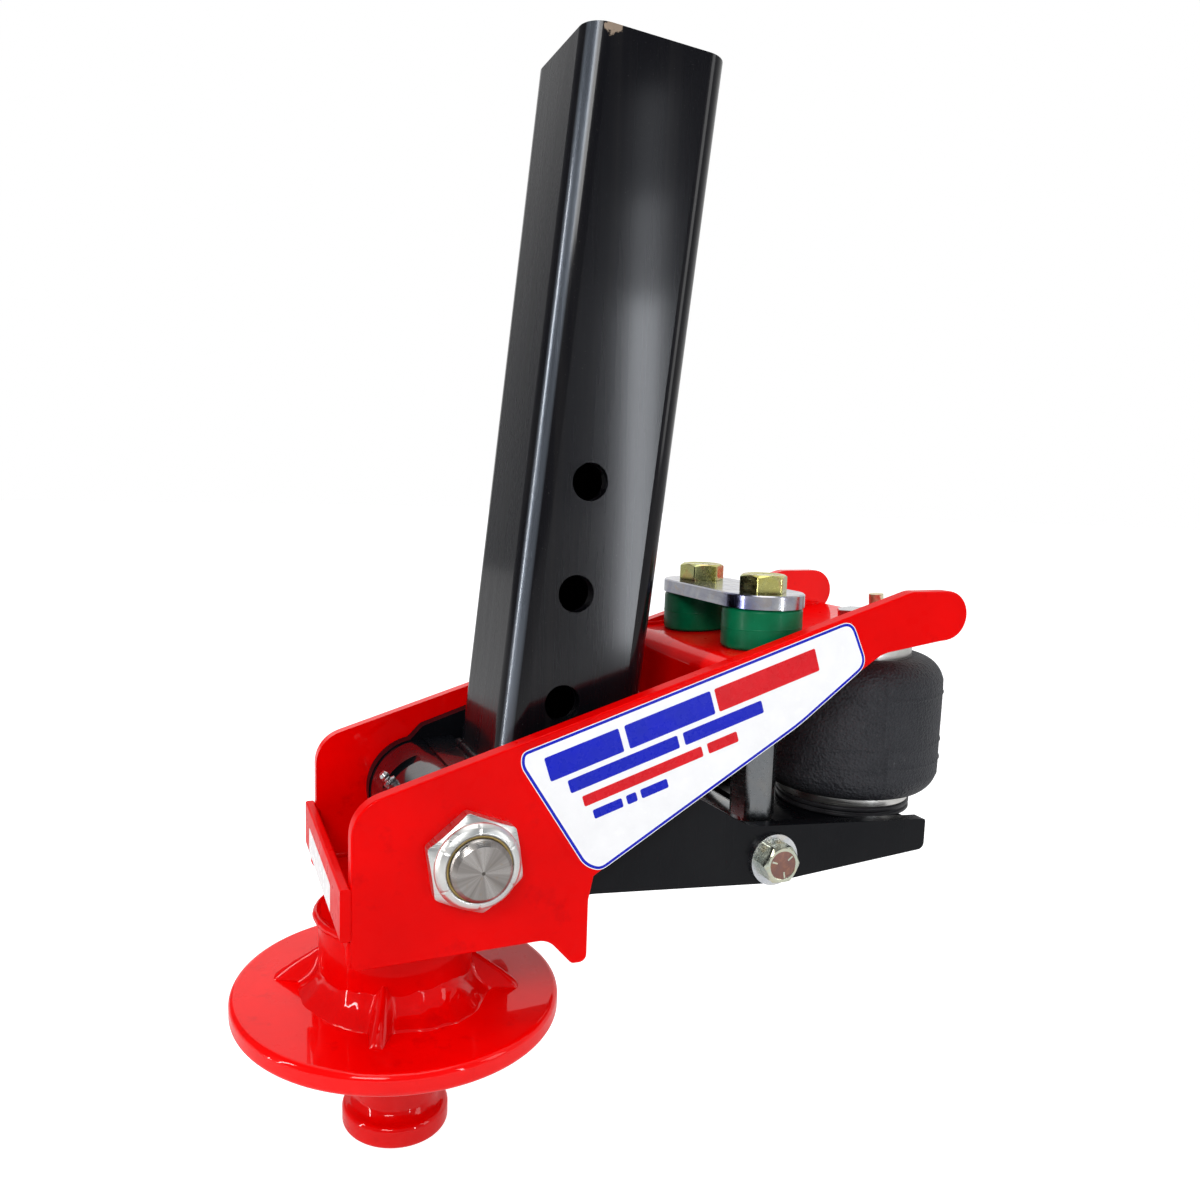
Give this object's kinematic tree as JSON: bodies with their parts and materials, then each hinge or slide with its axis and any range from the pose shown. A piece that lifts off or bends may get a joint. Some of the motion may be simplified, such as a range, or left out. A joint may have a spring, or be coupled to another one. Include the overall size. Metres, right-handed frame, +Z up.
{
  "type": "air-cushioned gooseneck coupler",
  "caption": "Air-cushioned gooseneck coupler: a leaning square stem pivots on a twin-plate arm that carries a fifth-wheel king pin, an air spring and a bushed damper link.",
  "frame": {"origin": "on the king-pin axis, in the plane of the round bearing plate's underside", "axes": "+Z up along the king-pin axis, +X towards the trailer, +Y across, parallel to the main pivot pin"},
  "size_m": [0.5204, 0.2158, 0.7],
  "materials": {
    "red_enamel": "gloss enamel",
    "black_enamel": "satin gloss enamel",
    "bright_zinc": "bright zinc plate",
    "yellow_zinc": "yellow zinc plate",
    "turned_steel": "turned",
    "cap_steel": "satin",
    "bronze": "oiled",
    "brass": "machined",
    "nylon": "matte",
    "black_rubber": "fine ribbed matte",
    "black_composite": "satin",
    "green_urethane": "satin moulded"
  },
  "bodies": {
    "trailer_frame": {"stem_tube": "black_enamel", "stem_filler_near": "black_enamel", "stem_filler_far": "black_enamel", "stem_brace": "black_enamel", "pivot_tube": "black_enamel", "pivot_bush_near": "bronze", "pivot_bush_far": "bronze", "grease_fitting": "bright_zinc", "arm_near": "black_enamel", "arm_far": "black_enamel", "bag_seat": "black_enamel", "bag_base_disc": "black_composite", "bag_crimp_ring": "cap_steel", "bag_base_screw": "bright_zinc", "bag_sleeve": "black_rubber", "cross_bolt": "yellow_zinc", "cross_washers": "bright_zinc", "cross_nut": "bright_zinc"},
    "coupler": {"side_plate_near": "red_enamel", "side_plate_far": "red_enamel", "front_bar": "red_enamel", "base_plate": "red_enamel", "pin_pipe": "red_enamel", "pipe_gussets": "red_enamel", "round_plate": "red_enamel", "king_pin": "red_enamel", "platform": "red_enamel", "main_pin": "turned_steel", "main_nut": "bright_zinc", "main_nut_ring": "nylon", "bag_top_cap": "cap_steel", "bag_top_screw": "bright_zinc", "air_fitting": "brass"},
    "damper_link": {"cross_tube": "bright_zinc", "standoff_near": "bright_zinc", "standoff_far": "bright_zinc", "damper_bolt_near": "yellow_zinc", "damper_bolt_far": "yellow_zinc", "damper_strap": "bright_zinc", "damper_bush_near": "green_urethane", "damper_bush_far": "green_urethane"}
  },
  "joints": [
    {"name": "coupler_pitch", "type": "hinge", "parent": "trailer_frame", "child": "coupler", "pos_m": [0.028, 0, 0.1265], "axis": [0, 1, 0], "range_deg": [0, 5], "stiffness_Nm_per_rad": 6000, "deforming": ["bag_sleeve"]},
    {"name": "damper_swing", "type": "hinge", "parent": "trailer_frame", "child": "damper_link", "pos_m": [0.24, 0, 0.1004], "axis": [0, 1, 0], "range_deg": [0, 4.2]}
  ],
  "couplings": [
    {"joint": "damper_swing", "follows": "coupler_pitch", "ratio": 0.82}
  ]
}
